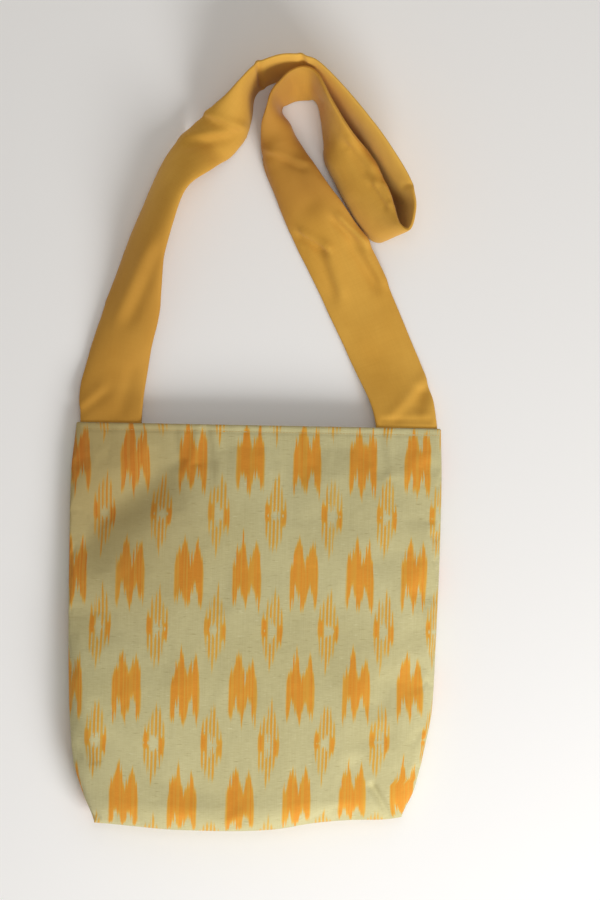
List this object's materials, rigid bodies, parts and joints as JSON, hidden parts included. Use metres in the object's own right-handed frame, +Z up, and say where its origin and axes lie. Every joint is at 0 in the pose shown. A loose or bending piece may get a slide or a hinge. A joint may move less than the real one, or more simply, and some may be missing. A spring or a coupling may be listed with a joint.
{
  "type": "cotton sling bag",
  "caption": "Soft cotton sling bag lying flat: an open-topped ikat pouch of front and back panels with one long plain shoulder strap sewn inside the mouth.",
  "frame": {"origin": "on the surface it lies on, under the middle of the whole bag's box", "axes": "+X to the right as the pouch's front is seen, +Y from the pouch's bottom towards the strap, +Z up from the surface"},
  "size_m": [0.346, 0.7228, 0.0586],
  "materials": {
    "ikat_cotton": "matte slub cotton with an orange ikat pattern",
    "strap_cotton": "matte plain cotton, mustard"
  },
  "bodies": {
    "root": {"front_panel": "ikat_cotton", "back_panel": "ikat_cotton", "strap": "strap_cotton"}
  },
  "joints": []
}
